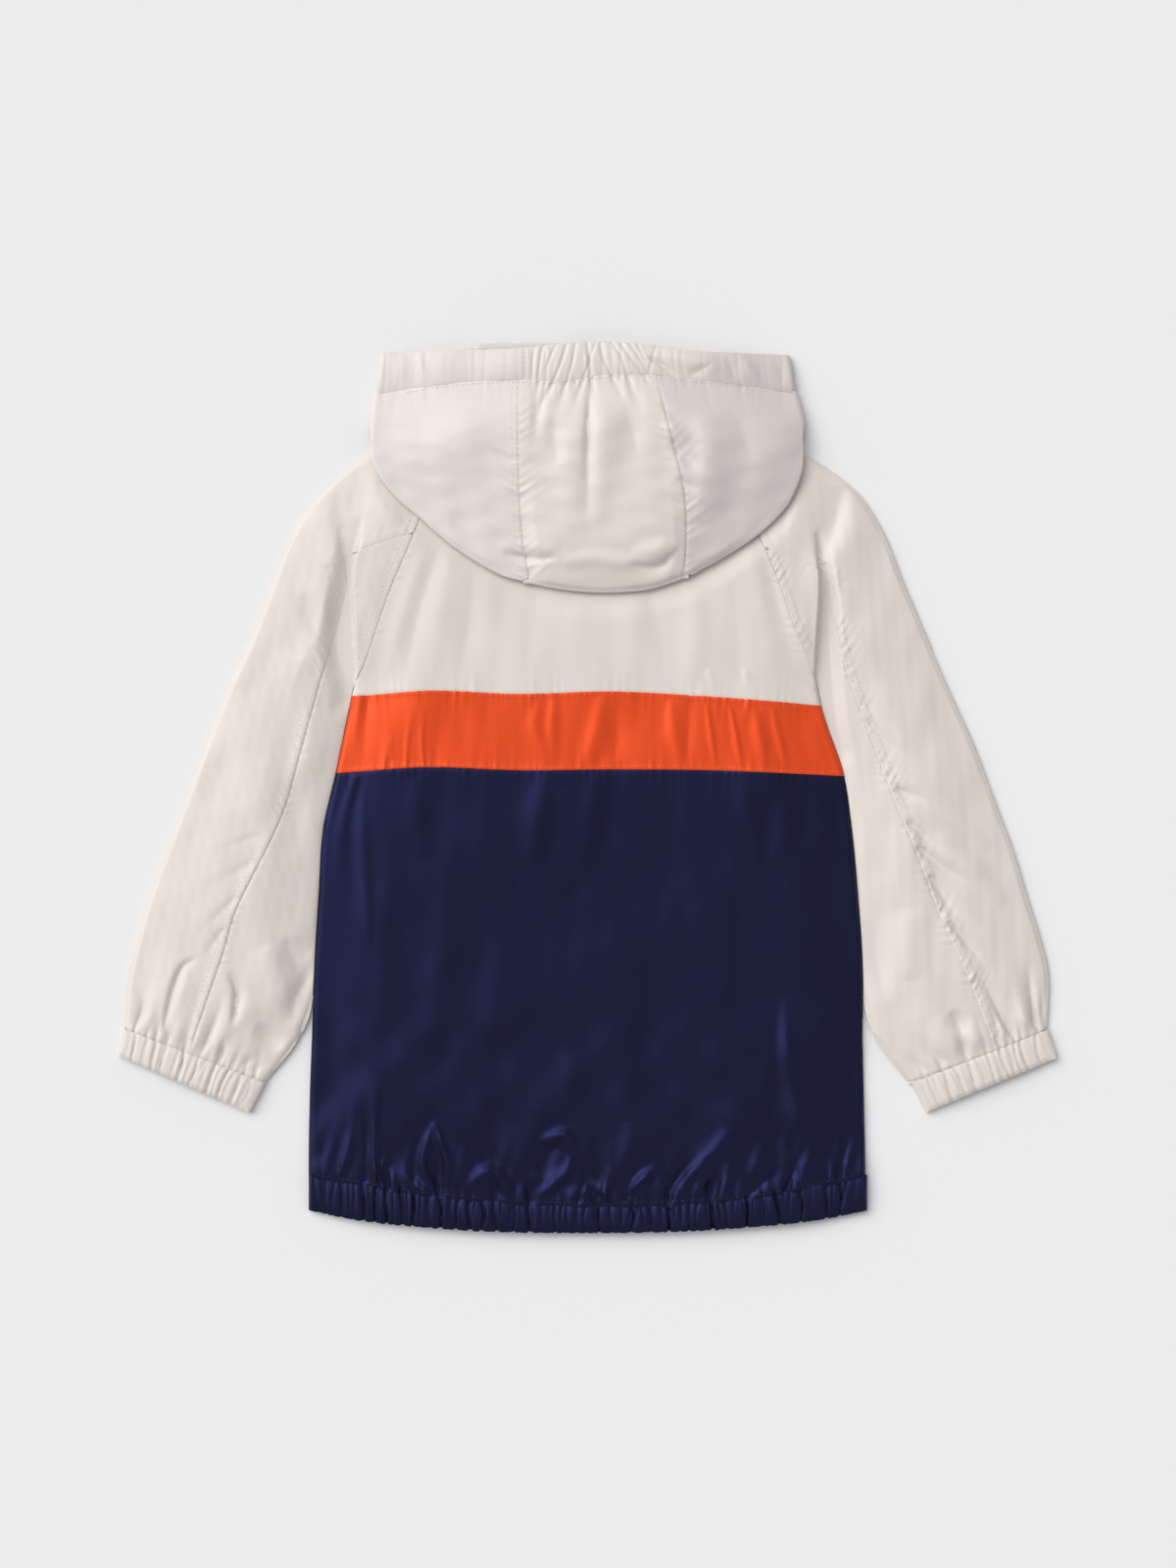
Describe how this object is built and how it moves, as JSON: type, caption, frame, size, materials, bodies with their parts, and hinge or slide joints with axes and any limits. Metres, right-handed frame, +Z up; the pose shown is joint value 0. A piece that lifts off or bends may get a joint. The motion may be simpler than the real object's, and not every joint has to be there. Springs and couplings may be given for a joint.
{
  "type": "child's hooded parka laid flat",
  "caption": "Light hooded parka with raglan sleeves, elasticated hem, cuffs and hood opening, laid flat on its front with its back up.",
  "frame": {"origin": "middle of the box round the coat, at the surface it lies on", "axes": "+X towards the wearer's right sleeve, +Y from hem to hood, +Z up off the surface, from front to back"},
  "size_m": [0.5748, 0.5422, 0.0157],
  "materials": {
    "cream_shell": "cream woven nylon with a soft satin sheen",
    "orange_satin": "orange woven satin stripe",
    "navy_shell": "navy woven nylon with a soft satin sheen",
    "zip_tape": "matte woven navy zip tape",
    "zip_metal": "satin metal"
  },
  "bodies": {
    "coat": {"back_yoke": "cream_shell", "front_yoke_left": "cream_shell", "front_yoke_right": "cream_shell", "sleeve_outer_left": "cream_shell", "sleeve_outer_right": "cream_shell", "sleeve_inner_left": "cream_shell", "sleeve_inner_right": "cream_shell", "cuff_left": "cream_shell", "cuff_right": "cream_shell", "hood_side_left": "cream_shell", "hood_side_right": "cream_shell", "hood_centre": "cream_shell", "hood_casing": "cream_shell", "back_band": "orange_satin", "front_band_left": "orange_satin", "front_band_right": "orange_satin", "back_lower": "navy_shell", "back_hem": "navy_shell", "front_lower_left": "navy_shell", "front_lower_right": "navy_shell", "front_hem_left": "navy_shell", "front_hem_right": "navy_shell", "zip_tape_left": "zip_tape", "zip_tape_right": "zip_tape", "zip_slider": "zip_metal", "zip_box": "zip_metal"},
    "pull_tab": {"zip_pull_tab": "zip_metal"}
  },
  "joints": [
    {"name": "pull_tab_hinge", "type": "hinge", "parent": "coat", "child": "pull_tab", "pos_m": [0, 0.226, 0.00122], "axis": [1, 0, 0], "range_deg": [0, 170]}
  ]
}
